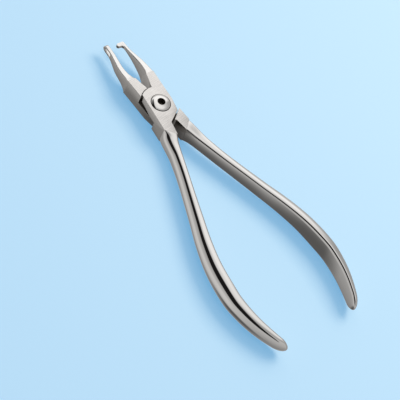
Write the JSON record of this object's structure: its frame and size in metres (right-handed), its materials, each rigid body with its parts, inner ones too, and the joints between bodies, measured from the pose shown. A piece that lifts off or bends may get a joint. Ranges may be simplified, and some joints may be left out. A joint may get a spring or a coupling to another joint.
{
  "type": "orthodontic pliers",
  "caption": "Slender steel lap-joint pliers with long bowed handles; one beak ends in a round peg, the other in a slot that the peg enters.",
  "frame": {"origin": "pivot axis at the joint's back face, in the middle of the screw's flush end", "axes": "+X from the pivot to the handle ends, -Z out of the joint's back face, +Z out of the screw's head"},
  "size_m": [0.1444, 0.0554, 0.01],
  "materials": {
    "satin_steel": "satin-ground stainless steel, brushed on the joint's flats",
    "polished_steel": "polished stainless steel"
  },
  "bodies": {
    "slot_half": {"slot_half": "satin_steel", "pivot_screw": "polished_steel"},
    "peg_half": {"peg_half": "satin_steel"}
  },
  "joints": [
    {"name": "pivot", "type": "hinge", "parent": "slot_half", "child": "peg_half", "pos_m": [0, 0, 0.004], "axis": [0, 0, -1], "range_deg": [-8, 20]}
  ]
}
